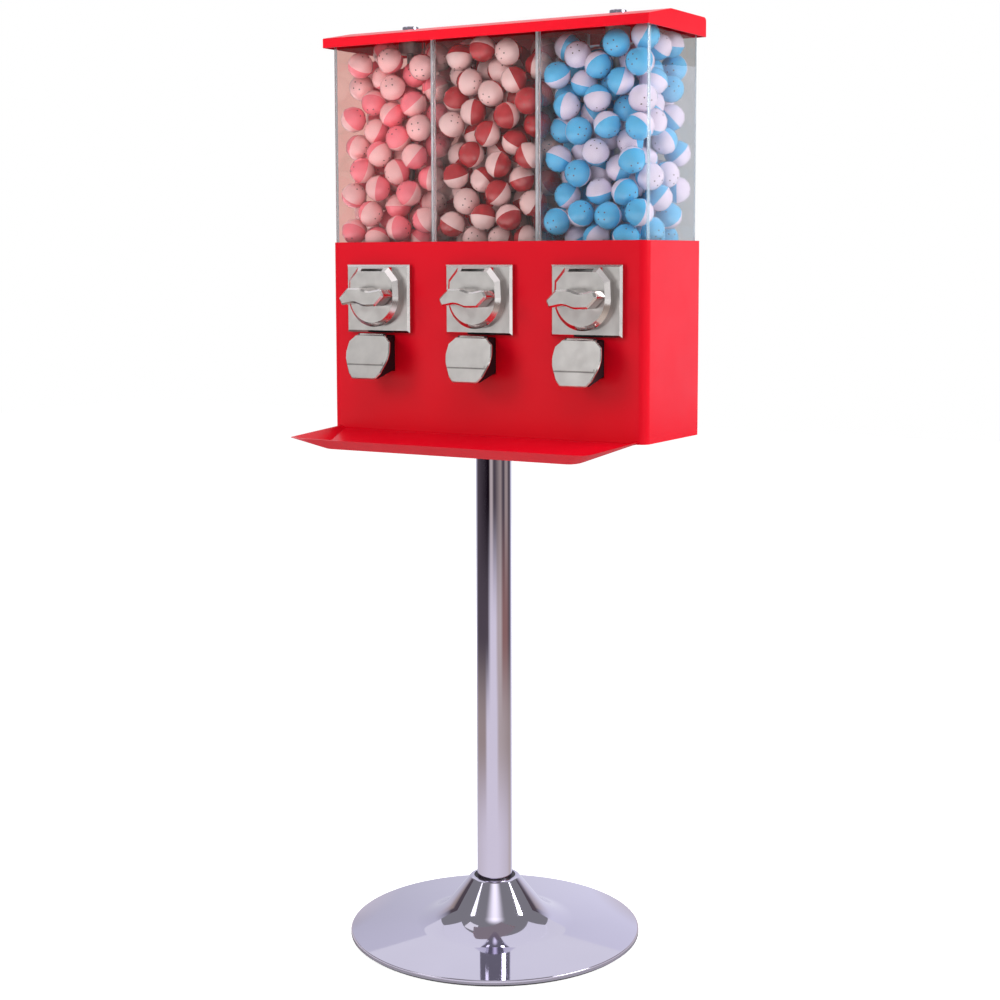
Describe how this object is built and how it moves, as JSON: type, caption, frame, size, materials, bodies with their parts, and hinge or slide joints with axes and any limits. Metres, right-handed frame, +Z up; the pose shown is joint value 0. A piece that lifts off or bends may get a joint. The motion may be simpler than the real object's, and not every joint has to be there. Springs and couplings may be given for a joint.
{
  "type": "capsule vending machine",
  "caption": "Free-standing bulk vending machine: clear hoppers of toy capsules side by side on a red cabinet with coin handles, chute flaps and a catch tray, on a chrome pole and round base.",
  "frame": {"origin": "on the floor under the axis of the pole, at the middle of the round base", "axes": "+Z up along the pole, -Y towards the customer at the front, +X to the customer's right"},
  "size_m": [0.437, 0.35, 1.0966],
  "materials": {
    "red_paint": "glossy red powder coat",
    "chrome": "polished chrome plate",
    "satin_chrome": "satin chrome on zinc casting",
    "bare_steel": "zinc plated",
    "cast_iron": "rough black casting",
    "floor_rubber": "matt black rubber",
    "black_plastic": "moulded black",
    "white_plastic": "moulded white",
    "clear_plastic": "clear, slightly grey",
    "capsule_pink": "glossy, pink and white halves",
    "capsule_red": "glossy, deep red and white halves",
    "capsule_blue": "glossy, sky blue and white halves"
  },
  "bodies": {
    "machine": {"cabinet_wrap": "red_paint", "rear_panel": "red_paint", "tray": "red_paint", "base_cover": "chrome", "pole": "chrome", "stand_flange": "bare_steel", "flange_bolts": "bare_steel", "cabinet_floor": "bare_steel", "cabinet_deck": "bare_steel", "brush_guards": "bare_steel", "wheel_axles": "bare_steel", "flap_pins": "bare_steel", "mech_screws": "bare_steel", "base_weight": "cast_iron", "floor_ring": "floor_rubber", "pole_bush": "black_plastic", "canister_left": "clear_plastic", "dispenser_housing_left": "white_plastic", "chute_left": "black_plastic", "coin_plate_left": "satin_chrome", "mech_cage_left": "bare_steel", "capsules_pink": "capsule_pink", "canister_middle": "clear_plastic", "dispenser_housing_middle": "white_plastic", "chute_middle": "black_plastic", "coin_plate_middle": "satin_chrome", "mech_cage_middle": "bare_steel", "capsules_red": "capsule_red", "canister_right": "clear_plastic", "dispenser_housing_right": "white_plastic", "chute_right": "black_plastic", "coin_plate_right": "satin_chrome", "mech_cage_right": "bare_steel", "capsules_blue": "capsule_blue"},
    "lid": {"lid": "red_paint", "lid_lock_bodies": "chrome"},
    "lid_lock_left": {"lid_lock_plug_left": "chrome"},
    "lid_lock_right": {"lid_lock_plug_right": "chrome"},
    "cash_drawer": {"cash_drawer": "red_paint", "drawer_lock_body": "chrome"},
    "drawer_lock": {"drawer_lock_plug": "chrome"},
    "handle_left": {"handle_left": "satin_chrome", "drive_shaft_left": "bare_steel", "coin_carrier_left": "bare_steel"},
    "wheel_left": {"product_wheel_left": "white_plastic"},
    "flap_left": {"chute_flap_left": "satin_chrome"},
    "pawl_left": {"ratchet_pawl_left": "bare_steel"},
    "handle_middle": {"handle_middle": "satin_chrome", "drive_shaft_middle": "bare_steel", "coin_carrier_middle": "bare_steel"},
    "wheel_middle": {"product_wheel_middle": "white_plastic"},
    "flap_middle": {"chute_flap_middle": "satin_chrome"},
    "pawl_middle": {"ratchet_pawl_middle": "bare_steel"},
    "handle_right": {"handle_right": "satin_chrome", "drive_shaft_right": "bare_steel", "coin_carrier_right": "bare_steel"},
    "wheel_right": {"product_wheel_right": "white_plastic"},
    "flap_right": {"chute_flap_right": "satin_chrome"},
    "pawl_right": {"ratchet_pawl_right": "bare_steel"}
  },
  "joints": [
    {"name": "lid_lift", "type": "slide", "parent": "machine", "child": "lid", "axis": [0, 0, 1], "range_m": [0, 0.3]},
    {"name": "lid_lock_left_turn", "type": "hinge", "parent": "lid", "child": "lid_lock_left", "pos_m": [-0.1417, 0.0415, 1.09113], "axis": [0, 0, 1], "range_deg": [0, 90]},
    {"name": "lid_lock_right_turn", "type": "hinge", "parent": "lid", "child": "lid_lock_right", "pos_m": [0.1417, 0.0415, 1.09113], "axis": [0, 0, 1], "range_deg": [0, 90]},
    {"name": "drawer_slide", "type": "slide", "parent": "machine", "child": "cash_drawer", "axis": [0, 1, 0], "range_m": [0, 0.1]},
    {"name": "drawer_lock_turn", "type": "hinge", "parent": "cash_drawer", "child": "drawer_lock", "pos_m": [0, 0.111, 0.652], "axis": [0, -1, 0], "range_deg": [0, 90]},
    {"name": "handle_left_turn", "type": "hinge", "parent": "machine", "child": "handle_left", "pos_m": [-0.1417, -0.048, 0.771], "axis": [0, 1, 0], "range_deg": [0, 360]},
    {"name": "wheel_left_turn", "type": "hinge", "parent": "machine", "child": "wheel_left", "pos_m": [-0.1417, 0.0415, 0.7872], "axis": [0, 0, 1], "range_deg": [0, 90]},
    {"name": "flap_left_swing", "type": "hinge", "parent": "machine", "child": "flap_left", "pos_m": [-0.1417, -0.04583, 0.7241], "axis": [-1, 0, 0], "range_deg": [0, 60]},
    {"name": "pawl_left_lift", "type": "hinge", "parent": "machine", "child": "pawl_left", "pos_m": [-0.1817, -0.025, 0.775], "axis": [0, -1, 0], "range_deg": [0, 12]},
    {"name": "handle_middle_turn", "type": "hinge", "parent": "machine", "child": "handle_middle", "pos_m": [0, -0.048, 0.771], "axis": [0, 1, 0], "range_deg": [0, 360]},
    {"name": "wheel_middle_turn", "type": "hinge", "parent": "machine", "child": "wheel_middle", "pos_m": [0, 0.0415, 0.7872], "axis": [0, 0, 1], "range_deg": [0, 90]},
    {"name": "flap_middle_swing", "type": "hinge", "parent": "machine", "child": "flap_middle", "pos_m": [0, -0.04583, 0.7241], "axis": [-1, 0, 0], "range_deg": [0, 60]},
    {"name": "pawl_middle_lift", "type": "hinge", "parent": "machine", "child": "pawl_middle", "pos_m": [-0.04, -0.025, 0.775], "axis": [0, -1, 0], "range_deg": [0, 12]},
    {"name": "handle_right_turn", "type": "hinge", "parent": "machine", "child": "handle_right", "pos_m": [0.1417, -0.048, 0.771], "axis": [0, 1, 0], "range_deg": [0, 360]},
    {"name": "wheel_right_turn", "type": "hinge", "parent": "machine", "child": "wheel_right", "pos_m": [0.1417, 0.0415, 0.7872], "axis": [0, 0, 1], "range_deg": [0, 90]},
    {"name": "flap_right_swing", "type": "hinge", "parent": "machine", "child": "flap_right", "pos_m": [0.1417, -0.04583, 0.7241], "axis": [-1, 0, 0], "range_deg": [0, 60]},
    {"name": "pawl_right_lift", "type": "hinge", "parent": "machine", "child": "pawl_right", "pos_m": [0.1017, -0.025, 0.775], "axis": [0, -1, 0], "range_deg": [0, 12]}
  ],
  "couplings": [
    {"joint": "wheel_left_turn", "follows": "handle_left_turn", "ratio": 0.25},
    {"joint": "wheel_middle_turn", "follows": "handle_middle_turn", "ratio": 0.25},
    {"joint": "wheel_right_turn", "follows": "handle_right_turn", "ratio": 0.25}
  ]
}
